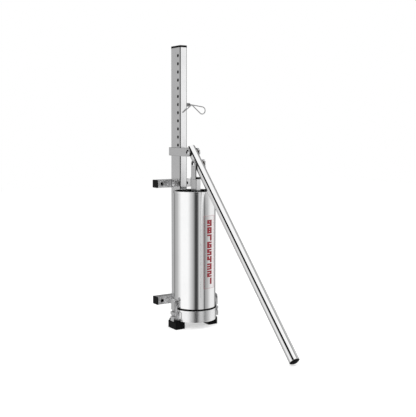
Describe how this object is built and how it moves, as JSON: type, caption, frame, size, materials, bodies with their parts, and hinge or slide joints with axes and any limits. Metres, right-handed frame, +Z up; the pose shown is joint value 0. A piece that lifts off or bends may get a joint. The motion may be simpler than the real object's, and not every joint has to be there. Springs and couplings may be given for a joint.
{
  "type": "wall mounted clay press",
  "caption": "Wall mounted lever press that squeezes potter's clay from an upright steel barrel through a clamped die.",
  "frame": {"origin": "on the wall plane, in the middle of the four wall bolt holes", "axes": "+Z up along the post and the barrel, +Y into the wall, -Y towards the user, +X to the user's right"},
  "size_m": [0.1296, 0.5197, 0.69],
  "materials": {
    "polished_steel": "polished stainless steel with fine drawn grain and soft wear",
    "bright_fastener": "bright zinc plated and stainless hardware",
    "black_plastic": "moulded black plastic, fine satin texture",
    "black_rubber": "black rubber seal",
    "liner_plastic": "low friction dark plastic",
    "bronze_bush": "oiled sintered bearing bronze",
    "white_plastic": "turned white plastic plunger",
    "plate_enamel": "thin bright plate with a thin red border and plain red scale marks in enamel"
  },
  "bodies": {
    "frame": {"post": "polished_steel", "post_caps": "black_plastic", "upper_wall_bar": "polished_steel", "lower_wall_bar": "polished_steel", "wall_bar_caps": "black_plastic", "upper_post_clamp": "polished_steel", "lower_post_clamp": "polished_steel", "clamp_bolts": "bright_fastener", "barrel": "polished_steel", "barrel_rim": "polished_steel", "barrel_pads": "polished_steel", "barrel_seal": "black_rubber", "die_ring": "polished_steel", "die_plate": "bright_fastener", "left_catch": "polished_steel", "right_catch": "polished_steel", "left_foot": "black_plastic", "right_foot": "black_plastic", "foot_screws": "black_plastic", "scale_plate": "plate_enamel", "left_latch_base": "polished_steel", "right_latch_base": "polished_steel", "latch_pins": "bright_fastener"},
    "collar": {"collar_strap": "polished_steel", "collar_liners": "liner_plastic", "collar_bridge": "polished_steel", "fulcrum_bolt": "bright_fastener", "fulcrum_nut": "bright_fastener"},
    "lever": {"lever_tube": "polished_steel", "lever_caps": "black_plastic", "lever_bushes": "bronze_bush"},
    "push_rod": {"fork": "polished_steel", "push_rod": "polished_steel", "rod_foot": "bright_fastener", "link_bolt": "bright_fastener", "link_nut": "bright_fastener"},
    "plunger": {"plunger_disc": "white_plastic", "plunger_hub": "polished_steel", "plunger_pin": "bright_fastener", "plunger_screws": "bright_fastener"},
    "lock_pin": {"lock_pin": "bright_fastener", "pin_wire": "bright_fastener"},
    "left_latch": {"left_latch_lever": "polished_steel"},
    "right_latch": {"right_latch_lever": "polished_steel"},
    "left_bail": {"left_latch_bail": "bright_fastener"},
    "right_bail": {"right_latch_bail": "bright_fastener"}
  },
  "joints": [
    {"name": "collar_slide", "type": "slide", "parent": "frame", "child": "collar", "axis": [0, 0, 1], "range_m": [0, 0.085]},
    {"name": "lever_swing", "type": "hinge", "parent": "collar", "child": "lever", "pos_m": [0, -0.1146, 0.231], "axis": [-1, 0, 0], "range_deg": [0, 45]},
    {"name": "link_turn", "type": "hinge", "parent": "lever", "child": "push_rod", "pos_m": [0, -0.14012, 0.20421], "axis": [-1, 0, 0], "range_deg": [-48, 0]},
    {"name": "plunger_tilt", "type": "hinge", "parent": "push_rod", "child": "plunger", "pos_m": [0, -0.1271, -0.129], "axis": [-1, 0, 0], "range_deg": [0, 2.5]},
    {"name": "lock_pin_pull", "type": "slide", "parent": "frame", "child": "lock_pin", "axis": [1, 0, 0], "range_m": [0, 0.04]},
    {"name": "left_latch_swing", "type": "hinge", "parent": "frame", "child": "left_latch", "pos_m": [-0.057, -0.1231, -0.147], "axis": [0, -1, 0], "range_deg": [0, 95]},
    {"name": "left_bail_turn", "type": "hinge", "parent": "left_latch", "child": "left_bail", "pos_m": [-0.055, -0.1231, -0.139], "axis": [0, -1, 0], "range_deg": [-112, 0]},
    {"name": "right_latch_swing", "type": "hinge", "parent": "frame", "child": "right_latch", "pos_m": [0.057, -0.1231, -0.147], "axis": [0, 1, 0], "range_deg": [0, 95]},
    {"name": "right_bail_turn", "type": "hinge", "parent": "right_latch", "child": "right_bail", "pos_m": [0.055, -0.1231, -0.139], "axis": [0, 1, 0], "range_deg": [-112, 0]}
  ],
  "couplings": [
    {"joint": "link_turn", "follows": "lever_swing", "ratio": -1.0505},
    {"joint": "plunger_tilt", "follows": "lever_swing", "ratio": 0.0505},
    {"joint": "left_bail_turn", "follows": "left_latch_swing", "ratio": -1.167},
    {"joint": "right_bail_turn", "follows": "right_latch_swing", "ratio": -1.167}
  ]
}
